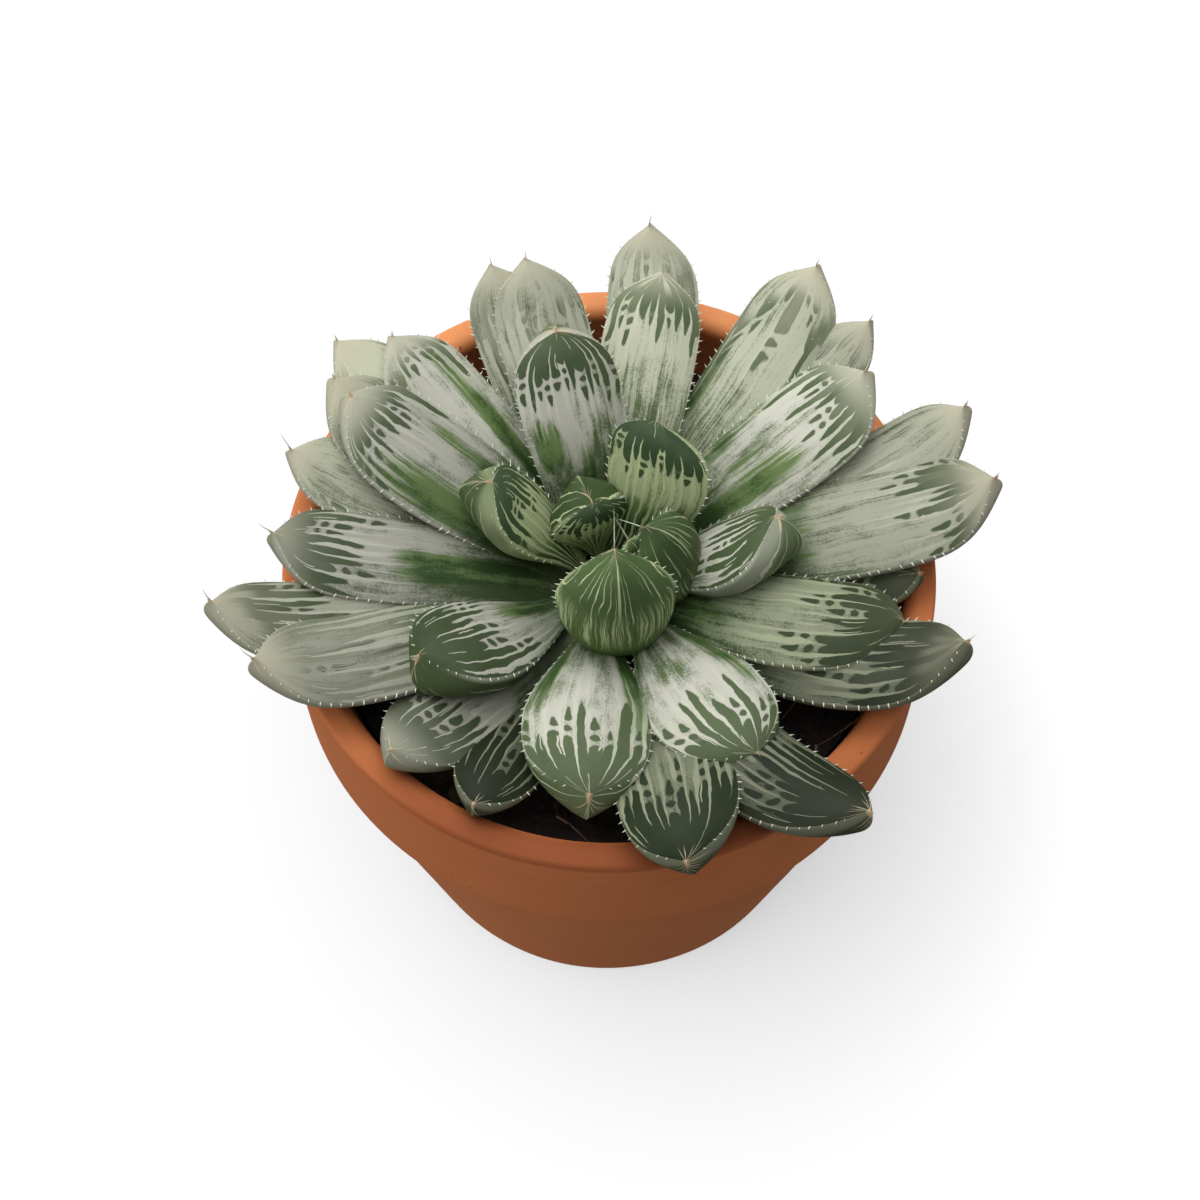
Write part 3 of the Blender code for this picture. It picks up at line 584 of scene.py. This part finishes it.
def skin_group():
    """Works out a leaf's colour and relief from its own coordinates."""
    tree = bpy.data.node_groups.new("variegated_skin", "ShaderNodeTree")
    face = tree.interface
    for name in SKIN_INPUTS:
        face.new_socket(name, in_out="INPUT", socket_type="NodeSocketFloat")
    for name in SKIN_COLOURS:
        face.new_socket(name, in_out="INPUT", socket_type="NodeSocketColor")
    face.new_socket("Color", in_out="OUTPUT", socket_type="NodeSocketColor")
    face.new_socket("Height", in_out="OUTPUT", socket_type="NodeSocketFloat")
    g = Graph(tree)
    given = g.node("NodeGroupInput").outputs
    uv = g.node("ShaderNodeUVMap", uv_map="leaf").outputs[0]
    parts = g.split("XYZ", uv)
    side = g.sub(g.mul(parts[0], 2), 1)
    run = parts[1]
    paint = g.node("ShaderNodeAttribute", attribute_name="paint", attribute_type="GEOMETRY")
    shares = g.split("Color", paint.outputs["Color"])
    streaked, below = shares[0], shares[1]
    spot = g.place()
    edge_out = g.math("ABSOLUTE", side)
    seed = g.add(given["Seed"], g.mul(below, 31))
    start = g.sub(given["Start"], g.mul(below, 0.06))

    # uneven spacing and waviness of the columns, which hold a finger each, with a vein between every two
    spacing = g.sub(g.noise(g.vector(g.mul(side, 2.4), 0.0), w=g.add(seed, 11)), 0.5)
    wave = g.sub(g.noise(g.vector(g.mul(side, 2.2), g.mul(run, 7)), w=seed), 0.5)
    ragged = g.sub(g.noise(g.vector(g.mul(side, 12), g.mul(run, 34)), w=g.add(seed, 3), detail=3), 0.5)
    across = g.add(g.add(side, g.mul(spacing, 0.3)), g.add(g.mul(wave, 0.2), g.mul(ragged, 0.035)))
    column = g.add(g.mul(across, g.mul(given["Cells"], 0.5)), g.mul(seed, 1.7))

    # dark fingers, broken in up to two places
    finger = g.math("FLOOR", column)
    off = g.math("ABSOLUTE", g.sub(g.sub(column, finger), 0.5))
    first, second, third = g.chance(g.add(finger, g.mul(seed, 13)))
    begins = g.add(
        g.sub(start, g.mul(given["Edge"], g.mul(side, side))),
        g.mul(given["Spread"], g.sub(first, 0.5)),
    )
    opening = g.math("POWER", g.step(run, begins, g.add(begins, 0.13), smooth=False), 0.6)
    half = g.mul(opening, 0.54)
    dark = g.step(off, g.add(half, 0.05), g.sub(half, 0.05))
    dark = g.mul(dark, g.step(run, begins, g.add(begins, 0.012)))
    ends = g.add(given["End"], g.mul(given["Spread"], g.sub(second, 0.5)))
    dark = g.mul(dark, g.step(run, g.add(ends, 0.04), g.sub(ends, 0.04)))
    for early, late, least in ((0.035, 0.05, 0.40), (0.085, 0.05, 0.62)):
        bridge = g.add(begins, g.add(early, g.mul(third, late)))
        gap = g.sub(g.math("ABSOLUTE", g.sub(run, bridge)), g.mul(g.mul(off, off), 0.09))
        broken = g.mul(g.step(gap, 0.013, 0.004), g.step(third, least, least + 0.02))
        dark = g.mul(dark, g.sub(1, broken))

    # white veins between the fingers
    vein = g.math("ROUND", column)
    near = g.math("ABSOLUTE", g.sub(column, vein))
    one, two, three = g.chance(g.add(g.add(vein, 57), g.mul(seed, 13)))
    reach = g.sub(given["Reach"], g.mul(g.mul(one, one), 0.3))
    taper = g.step(run, reach, start, smooth=False)
    thick = g.mul(given["Line"], g.add(0.25, g.mul(taper, g.add(0.5, g.mul(two, 0.8)))))
    line = g.step(near, g.add(thick, 0.035), g.sub(thick, 0.02))
    line = g.mul(line, g.step(run, g.add(reach, 0.012), g.sub(reach, 0.012)))
    dark = g.mul(dark, g.sub(1, line))
    stripes = g.noise(g.vector(g.mul(across, 7), g.mul(run, 1.6)), w=seed, detail=4, rough=0.6)
    fine = g.noise(g.vector(g.mul(across, 26), g.mul(run, 3)), w=seed, detail=2)
    hazy = g.step(g.add(g.mul(stripes, 0.5), g.mul(fine, 0.5)), 0.62, 0.42)
    dark = g.mul(dark, g.sub(1, g.mul(g.mul(g.step(given["Tip"], 0.6, 0.85), 0.9), hazy)))

    # short thin dashes and dots inside the window
    column2 = g.add(g.mul(across, g.mul(given["Cells"], 0.83)), 0.37)
    dash = g.math("ROUND", column2)
    off2 = g.math("ABSOLUTE", g.sub(column2, dash))
    place, lot, _ = g.chance(g.add(g.add(dash, 211), g.mul(seed, 13)))
    middle = g.add(g.add(start, 0.06), g.mul(place, 0.3))
    dashes = g.mul(g.step(off2, 0.10, 0.05), g.step(g.math("ABSOLUTE", g.sub(run, middle)), 0.05, 0.035))
    dashes = g.mul(dashes, g.step(lot, 0.66, 0.68))
    marks = g.math("MAXIMUM", dashes, g.mul(g.specks(spot, 520.0, 0.10, 0.06, 0.72), 0.85))

    # body: fine stripes, mottling and grain, and painted shade towards the base
    cloud = g.noise(spot, scale=260, detail=5, rough=0.6)
    grain = g.noise(spot, scale=3600, detail=2)
    clouds = g.noise(g.vector(g.mul(side, 2.2), g.mul(run, 3.2)), w=g.add(seed, 5), detail=4, rough=0.6)
    striped = g.add(g.mul(stripes, 0.55), g.mul(fine, 0.45))
    clouded = g.add(g.mul(clouds, 0.9), g.mul(fine, 0.1))
    share = g.math("MULTIPLY_ADD", g.sub(striped, clouded), given["Stripy"], clouded)
    share = g.math("MULTIPLY_ADD", g.sub(share, 0.5), 1.7, 0.5)
    tone = g.add(share, g.add(g.mul(g.sub(cloud, 0.5), 0.5), g.mul(g.sub(grain, 0.5), 0.34)))
    tone = g.add(tone, g.sub(g.mul(g.step(run, 0.1, start), 0.24), 0.07))
    rim = g.mul(g.step(edge_out, 0.55, 1.0), g.step(clouds, 0.3, 0.65))
    tone = g.sub(tone, g.mul(rim, 0.16))
    body = g.mix(g.step(tone, 0.68, 0.34), given["Light"], given["Stripe"])
    lush = g.mix(g.step(tone, 0.72, 0.40), srgb(114, 138, 82), srgb(52, 84, 34))
    # The leaf's tone, partly its own lightness and partly painted light and shade, dims its green streaks too.
    dim = g.math("MULTIPLY_ADD", given["Tone"], 0.7, 0.3)
    lush = g.mix(1.0, lush, g.vector(dim, dim, dim), "MULTIPLY")
    flecks = g.add(g.mul(g.sub(fine, 0.5), 1.3), g.mul(g.sub(grain, 0.5), 0.5))
    patchy = g.add(g.mul(g.sub(stripes, 0.5), 2.2), flecks)
    streak = g.step(g.add(streaked, g.mul(patchy, g.step(streaked, 0.0, 0.3))), 0.15, 0.75)
    body = g.mix(streak, body, lush)
    # Darker towards the base: partly the base's own green, partly painted shade deep in the rosette.
    base_green_and_shade = g.step(g.add(run, g.mul(g.sub(stripes, 0.5), 0.3)), 0.55, 0.1)
    shaded = g.mix(g.step(tone, 0.62, 0.4), srgb(78, 98, 60), srgb(38, 54, 28))
    body = g.mix(g.mul(base_green_and_shade, 0.75), body, shaded)

    # window; the veins run on over the body only in the heart, whose Stripy is the highest
    depth = g.mul(given["Window"], g.add(0.75, g.mul(g.sub(cloud, 0.5), 0.9)))
    window = g.mix(depth, given["Shallow"], given["Deep"])
    soft = g.mul(given["Tip"], g.step(run, g.add(begins, 0.05), g.add(begins, 0.22)))
    window = g.mix(g.mul(soft, 0.85), window, g.mix(0.45, given["Shallow"], given["Pale"]))
    window = g.mix(marks, window, given["Vein"])
    lined = g.math("MAXIMUM", g.step(run, g.sub(begins, 0.16), begins), g.step(given["Stripy"], 0.77, 0.79))
    upper = g.mix(dark, g.mix(g.mul(g.mul(line, lined), 0.6), body, given["Vein"]), window)
    pale = g.mul(g.step(given["Tip"], 0.0, 0.7), g.step(run, 0.80, 0.97))
    upper = g.mix(pale, upper, given["Pale"])

    # underside, with its pale rays, keel line and fringe
    lower = g.mix(g.mul(g.step(tone, 0.62, 0.45), 0.5), g.mix(given["Under"], given["Light"], given["Below"]),
                  given["Stripe"])
    glazed = g.mul(g.step(run, g.sub(start, 0.1), g.add(start, 0.15)), given["Under"])
    lower = g.mix(glazed, lower, g.mix(0.35, window, given["Below"]))
    tail = g.add(g.sub(start, 0.04), g.mul(two, 0.22))
    rays = g.mul(g.step(near, thick, g.mul(thick, 0.3)), g.step(run, tail, g.add(tail, 0.06)))
    rays = g.mul(rays, g.step(run, g.add(reach, 0.1), g.add(reach, 0.02)))
    haze = g.mul(g.step(run, g.sub(start, 0.16), g.sub(start, 0.02)), g.step(run, g.add(start, 0.12), start))
    lower = g.mix(g.mul(g.mul(haze, given["Under"]), g.step(fine, 0.42, 0.7)), lower, given["Light"])
    lower = g.mix(g.mul(rays, given["Under"]), lower, given["Vein"])
    keel = g.mul(g.step(edge_out, 0.04, 0.02), g.mul(g.step(run, 0.6, 0.8), 0.7))
    lower = g.mix(keel, lower, given["Vein"])
    fringe = g.mul(g.step(edge_out, 0.66, 0.94), g.step(given["Under"], 1.0, 0.6))
    lower = g.mix(g.mul(fringe, 0.85), lower, g.mix(0.5, given["Light"], given["Vein"]))
    lower = g.mix(pale, lower, given["Pale"])
    colour = g.mix(below, upper, lower)

    # margin line, and the dry star and point at the apex
    margin = g.mul(g.step(edge_out, 0.988, 0.998), g.step(run, 0.95, 0.75))
    colour = g.mix(g.mul(margin, 0.6), colour, given["Vein"])
    star = g.mul(g.step(run, 0.93, 0.985), g.step(near, g.mul(g.sub(run, 0.9), 3.0), 0.0))
    colour = g.mix(g.mul(star, g.step(three, 0.58, 0.62)), colour, srgb(206, 190, 160))
    colour = g.mix(g.step(run, 0.990, 0.998), colour, srgb(196, 170, 136))
    height = g.add(g.mul(grain, 0.5), g.add(g.mul(fine, 0.4), g.mul(line, 0.3)))
    out = g.node("NodeGroupOutput")
    tree.links.new(colour, out.inputs["Color"])
    tree.links.new(height, out.inputs["Height"])
    return tree


def new_material(name):
    made = bpy.data.materials.new(name)
    made.use_nodes = True
    shader = made.node_tree.nodes["Principled BSDF"]
    return made, Graph(made.node_tree), shader


def leaf_material(rank, look, group):
    made, g, shader = new_material(f"leaf_skin_{rank + 1:02d}")
    skin = g.node("ShaderNodeGroup", node_tree=group)
    # look[1:11] is a look's fields from start to under, in the order of SKIN_INPUTS.
    values = (rank * 3.17 + 1, *look[1:11], STRIPY[look.skin], look.tone)
    for name, value in zip(SKIN_INPUTS, values):
        skin.inputs[name].default_value = value
    for name, colour in zip(SKIN_COLOURS, PALETTES[look.skin]):
        # The tone darkens the palette, the pale tip and veins less: partly the leaf's own colour, partly painted
        # shade.
        tone = look.tone ** 0.5 if name in ("Pale", "Vein") else look.tone
        skin.inputs[name].default_value = (*(tone * c for c in srgb(*colour)), 1)
    g.plug(shader.inputs["Base Color"], skin.outputs["Color"])
    g.bump(shader, skin.outputs["Height"], 0.25, 0.0001)
    shader.inputs["Roughness"].default_value = 0.55
    shader.inputs["Specular IOR Level"].default_value = 0.2
    shader.inputs["Subsurface Weight"].default_value = 0.15
    shader.inputs["Subsurface Radius"].default_value = (1.0, 1.2, 0.5)
    shader.inputs["Subsurface Scale"].default_value = 0.0015
    return made


def tooth_material():
    made, g, shader = new_material("tooth")
    spot = g.place()
    shade = g.mix(g.noise(spot, scale=900), srgb(208, 212, 192), srgb(234, 235, 220))
    g.plug(shader.inputs["Base Color"], shade)
    shader.inputs["Roughness"].default_value = 0.5
    shader.inputs["Subsurface Weight"].default_value = 0.2
    shader.inputs["Subsurface Scale"].default_value = 0.0005
    return made


def terracotta_material():
    made, g, shader = new_material("terracotta_clay")
    spot = g.place()
    _, depth, height = g.split("XYZ", spot)
    turning = g.noise(g.vector(0.0, 0.0, height), scale=700, detail=3)
    cloud = g.noise(spot, scale=40, detail=4)
    grain = g.noise(spot, scale=2500, detail=2)
    base = g.mix(cloud, srgb(208, 118, 66), srgb(224, 138, 84))
    base = g.mix(g.mul(g.step(turning, 0.35, 0.7), 0.16), base, srgb(180, 100, 58))
    # the rim's top, lighter at the back and darker at the front, as the photograph shades it
    top = g.step(height, POT_HEIGHT - 1.6 * MM, POT_HEIGHT)
    back = g.mul(g.step(depth, 0.0, 0.03), top)
    base = g.mix(g.mul(back, 0.65), base, srgb(244, 162, 104))
    front = g.mul(g.step(depth, -0.020, -0.042), top)
    base = g.mix(g.mul(front, 0.85), base, srgb(126, 62, 28))
    base = g.mix(g.mul(g.specks(spot, 420.0, 0.12, 0.06, 0.93), 0.6), base, srgb(90, 48, 34))
    g.plug(shader.inputs["Base Color"], base)
    g.bump(shader, g.add(g.mul(grain, 0.6), turning), 0.35, 0.0001)
    shader.inputs["Roughness"].default_value = 0.78
    shader.inputs["Specular IOR Level"].default_value = 0.3
    return made


def soil_material():
    made, g, shader = new_material("potting_mix_grains")
    spot = g.place()
    shade = g.noise(spot, scale=900, detail=4)
    base = g.mix(shade, srgb(14, 12, 11), srgb(52, 42, 36))
    g.plug(shader.inputs["Base Color"], base)
    g.bump(shader, g.noise(spot, scale=1500, detail=4), 0.6, 0.0004)
    shader.inputs["Roughness"].default_value = 0.85
    return made


def plain_material(name, colour, rough):
    made, g, shader = new_material(name)
    spot = g.place()
    darker, lighter = tuple(c * 0.7 for c in colour), tuple(c * 1.2 for c in colour)
    g.plug(shader.inputs["Base Color"], g.mix(g.noise(spot, scale=600, detail=3), darker, lighter))
    shader.inputs["Roughness"].default_value = rough
    return made


# ---------------------------------------------------------------- pot and soil


def arc(centre, radius, start, end, points):
    angles = [math.radians(start + (end - start) * i / (points - 1)) for i in range(points)]
    return [(centre[0] + radius * math.cos(a), centre[1] + radius * math.sin(a)) for a in angles]


def inner_wall_radius(height):
    share = (height - FLOOR) / (POT_HEIGHT - FLOOR)
    return (FOOT_RADIUS - WALL) + share * (RIM_RADIUS - FOOT_RADIUS)


def pot_profile():
    band_foot = POT_HEIGHT - BAND_HEIGHT
    lip = inner_wall_radius(POT_HEIGHT)
    return [
        *arc((lip + LIP_ROUND, POT_HEIGHT - LIP_ROUND), LIP_ROUND, 180, 90, 12),
        *arc((RIM_RADIUS - EDGE_ROUND, POT_HEIGHT - EDGE_ROUND), EDGE_ROUND, 88, 0, 8),
        *arc((RIM_RADIUS - EDGE_ROUND, band_foot + EDGE_ROUND), EDGE_ROUND, 0, -80, 8),
        (RIM_RADIUS - BAND_STEP, band_foot - 0.4 * MM),
        *arc((FOOT_RADIUS - EDGE_ROUND, EDGE_ROUND), EDGE_ROUND, -10, -90, 6),
        (DRAIN_RADIUS, 0),
        (DRAIN_RADIUS, FLOOR),
        (inner_wall_radius(FLOOR), FLOOR),
    ]


def refine(profile, longest):
    """The closed profile with its long edges cut up."""
    fine = []
    for (r0, z0), (r1, z1) in zip(profile, profile[1:] + profile[:1]):
        count = max(1, math.ceil(math.hypot(r1 - r0, z1 - z0) / longest))
        fine += [(blend(r0, r1, i / count), blend(z0, z1, i / count)) for i in range(count)]
    return fine


def turned(name, profile, steps):
    mesh = bpy.data.meshes.new(name)
    count = len(profile)
    verts = [
        (r * math.cos(2 * math.pi * k / steps), r * math.sin(2 * math.pi * k / steps), z)
        for k in range(steps) for r, z in profile
    ]
    faces = [
        (k * count + i, k * count + (i + 1) % count, (k + 1) % steps * count + (i + 1) % count,
         (k + 1) % steps * count + i)
        for k in range(steps) for i in range(count)
    ]
    mesh.from_pydata(verts, [], [tuple(reversed(f)) for f in faces])
    mesh.polygons.foreach_set("use_smooth", [True] * len(mesh.polygons))
    return mesh


def make_pot():
    mesh = turned("pot_clay", refine(pot_profile(), POT_EDGE), POT_STEPS)
    for vertex in mesh.vertices:
        wobble = noise.noise(Vector((vertex.co.x * 60, vertex.co.y * 60, vertex.co.z * 400)))
        radial = vertex.co.xy.normalized() * wobble * 0.05 * MM
        vertex.co.x += radial.x
        vertex.co.y += radial.y
    mesh.set_sharp_from_angle(angle=math.radians(60))
    mesh.materials.append(terracotta_material())
    return add_piece("pot_clay", mesh, ["pot"])


def soil_height(radius):
    return POT_HEIGHT - SOIL_DROP + SOIL_MOUND * (1 - radius / RIM_RADIUS)


def make_soil():
    """Potting mix: the bed's surface is lumpy, and loose grains lie on it."""
    draw = random.Random(11)
    hole = STEM_RADIUS + SEAT_GAP
    wall_top = inner_wall_radius(POT_HEIGHT - SOIL_DROP) - SEAT_GAP
    floor = FLOOR + SEAT_GAP
    made = bmesh.new()
    radii = [hole + (wall_top - hole) * i / SOIL_RINGS for i in range(SOIL_RINGS + 1)]
    grid = []
    for i, radius in enumerate(radii):
        ring = []
        for k in range(SOIL_STEPS):
            a = 2 * math.pi * k / SOIL_STEPS
            x, y = radius * math.cos(a), radius * math.sin(a)
            lump = noise.fractal(Vector((x * 420, y * 420, 3)), 0.7, 2.1, 4) * SOIL_LUMP
            ring.append(made.verts.new((x, y, soil_height(radius) + (lump if 0 < i < SOIL_RINGS else 0))))
        grid.append(ring)
    narrower = (inner_wall_radius(floor) - SEAT_GAP) / wall_top
    bottom = [made.verts.new((v.co.x * narrower, v.co.y * narrower, floor)) for v in grid[-1]]
    well = [made.verts.new((v.co.x, v.co.y, POT_HEIGHT - STEM_DEPTH - SEAT_GAP)) for v in grid[0]]
    around = [(k, (k + 1) % SOIL_STEPS) for k in range(SOIL_STEPS)]
    for low, high in zip(grid, grid[1:]):
        for k, n in around:
            made.faces.new((low[k], high[k], high[n], low[n]))
    for k, n in around:
        made.faces.new((grid[-1][k], bottom[k], bottom[n], grid[-1][n]))
        made.faces.new((well[k], grid[0][k], grid[0][n], well[n]))
    made.faces.new(list(reversed(bottom)))
    made.faces.new(well)
    for _ in range(GRAINS):
        radius = math.sqrt(draw.uniform(0.12, 1)) * (wall_top - 1.2 * MM)
        a = draw.uniform(0, 2 * math.pi)
        size = draw.uniform(0.35, 1.0) * MM
        centre = Vector((radius * math.cos(a), radius * math.sin(a), soil_height(radius) + size * 0.3))
        add_grain(made, centre, size, draw, PALE_GRAIN if draw.random() < 0.06 else MIX)
    for place, size, stretch in WITHERED:
        add_grain(made, Vector(place) * MM, size * MM, draw, DEAD_LEAF, stretch, 3)
    for start, end, thick, bend in STALKS:
        start, end = Vector(start) * MM, Vector(end) * MM
        way = end - start
        add_cone(made, start, way, way.length, thick * MM, Vector(bend) * MM, 7, STALK, steps=12)
    for face in made.faces:
        face.smooth = True
    mesh = bpy.data.meshes.new("potting_mix")
    made.to_mesh(mesh)
    made.free()
    mesh.set_sharp_from_angle(angle=math.radians(50))
    mesh.materials.append(soil_material())
    mesh.materials.append(plain_material("pale_grain", srgb(150, 140, 122), 0.8))
    mesh.materials.append(plain_material("withered_leaf", srgb(74, 62, 46), 0.8))
    mesh.materials.append(plain_material("dry_stalk", srgb(150, 118, 86), 0.7))
    return add_piece("potting_mix", mesh, ["soil"])


def add_grain(made, centre, size, draw, material, stretch=None, parts=1):
    stretch = stretch or (draw.uniform(0.7, 1.3), draw.uniform(0.7, 1.3), draw.uniform(0.5, 0.9))
    angle = draw.uniform(0, 6.3)
    turn = Matrix.Rotation(angle, 3, Vector((draw.random(), draw.random(), draw.random() + 0.1)))
    grain = bmesh.ops.create_icosphere(made, subdivisions=parts, radius=size)["verts"]
    for vertex in grain:
        spot = Vector(c * s for c, s in zip(vertex.co, stretch)) * draw.uniform(0.8, 1.15)
        vertex.co = centre + turn @ spot
    for face in {f for v in grain for f in v.link_faces}:
        face.material_index = material


# ---------------------------------------------------------------- stage, light and camera


FLOOR_HALF = 3.0
DOME_RADIUS = 2.9
HALO_REACH = 0.045
LIT_POINT = (0, 0, 0.07)
CAMERA_TILT = math.radians(63.1)
CAMERA_TARGET = (-1.24, 0, 66.1)
CAMERA_DISTANCE = 0.320
CAMERA_LENS = 67.44


def make_stage():
    """A pale, glowing floor. Ambient occlusion shades it softly round the pot's foot."""
    mesh = bpy.data.meshes.new("floor")
    size = FLOOR_HALF
    corners = [(-size, -size, 0), (size, -size, 0), (size, size, 0), (-size, size, 0)]
    mesh.from_pydata(corners, [], [(0, 1, 2, 3)])
    floor = bpy.data.objects.new("floor", mesh)
    bpy.context.scene.collection.objects.link(floor)
    made, g, shader = new_material("pale_floor")
    shader.inputs["Base Color"].default_value = (0.05, 0.05, 0.05, 1)
    shader.inputs["Roughness"].default_value = 0.9
    shader.inputs["Specular IOR Level"].default_value = 0.0
    shade = g.node("ShaderNodeAmbientOcclusion", samples=16)
    shade.inputs["Distance"].default_value = HALO_REACH
    g.plug(shade.inputs["Normal"], g.vector(-0.42, -0.36, 0.83))
    g.plug(shader.inputs["Emission Color"], g.mix(shade.outputs["AO"], (0.28, 0.28, 0.28), (1, 1, 1)))
    shader.inputs["Emission Strength"].default_value = 0.98
    mesh.materials.append(made)
    floor.visible_diffuse = False
    floor.visible_glossy = False


def make_backdrop():
    """A pale dome round the stage, which the camera sees and the light passes."""
    mesh = bpy.data.meshes.new("backdrop")
    dome = bmesh.new()
    bmesh.ops.create_uvsphere(dome, u_segments=64, v_segments=32, radius=DOME_RADIUS)
    dome.to_mesh(mesh)
    dome.free()
    backdrop = bpy.data.objects.new("backdrop", mesh)
    bpy.context.scene.collection.objects.link(backdrop)
    made, _, shader = new_material("pale_backdrop")
    shader.inputs["Base Color"].default_value = (0, 0, 0, 1)
    shader.inputs["Roughness"].default_value = 1.0
    shader.inputs["Specular IOR Level"].default_value = 0.0
    shader.inputs["Emission Color"].default_value = (1, 1, 1, 1)
    shader.inputs["Emission Strength"].default_value = 1.0
    mesh.materials.append(made)
    backdrop.visible_diffuse = False
    backdrop.visible_glossy = False
    backdrop.visible_transmission = False
    backdrop.visible_shadow = False


def add_light(name, place, target, size, power):
    light = bpy.data.lights.new(name, "AREA")
    light.shape = "DISK"
    light.size = size
    light.energy = power
    lamp = bpy.data.objects.new(name, light)
    lamp.location = place
    lamp.rotation_euler = (Vector(target) - Vector(place)).to_track_quat("-Z", "Y").to_euler()
    bpy.context.scene.collection.objects.link(lamp)


def make_light():
    world = bpy.data.worlds.new("studio")
    bpy.context.scene.world = world
    world.use_nodes = True
    g = Graph(world.node_tree)
    height = g.split("XYZ", g.node("ShaderNodeTexCoord").outputs["Generated"])[2]
    sky = g.mix(g.step(height, -0.6, 0.5), (0.18, 0.17, 0.16), (0.30, 0.30, 0.30))
    g.plug(world.node_tree.nodes["Background"].inputs[0], sky)
    world.node_tree.nodes["Background"].inputs[1].default_value = 1.0
    add_light("top", (0, 0.10, 1.10), LIT_POINT, 1.20, 5.0)
    add_light("key", (-0.20, 0.45, 0.75), LIT_POINT, 0.90, 4.5)
    add_light("fill", (-0.90, -0.25, 0.45), LIT_POINT, 0.50, 2.5)


def make_camera():
    """The tilt, target and lens are fitted to the pot's outline in the photograph, at a given distance."""
    away = Vector((0, -math.cos(CAMERA_TILT), math.sin(CAMERA_TILT)))
    camera = bpy.data.objects.new("camera", bpy.data.cameras.new("camera"))
    camera.location = Vector(CAMERA_TARGET) * MM + CAMERA_DISTANCE * away
    camera.rotation_euler = (math.pi / 2 - CAMERA_TILT, 0, 0)
    camera.data.sensor_width = 36
    camera.data.lens = CAMERA_LENS
    camera.data.clip_start = 0.01
    bpy.context.scene.collection.objects.link(camera)
    bpy.context.scene.camera = camera


def main():
    group = skin_group()
    skins = {rank: leaf_material(rank, look, group) for rank, (_, look) in enumerate(LEAVES)}
    skins["tooth"] = tooth_material()
    for rank, (leaf, look) in enumerate(LEAVES):
        make_leaf(rank, leaf, look, skins)
    make_pot()
    make_soil()
    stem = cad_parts["stem"]
    stem.data.materials.clear()
    stem.data.materials.append(plain_material("stem_skin", srgb(78, 98, 54), 0.8))
    make_stage()
    make_backdrop()
    make_light()
    make_camera()
    bpy.context.scene.view_settings.view_transform = "Standard"


main()
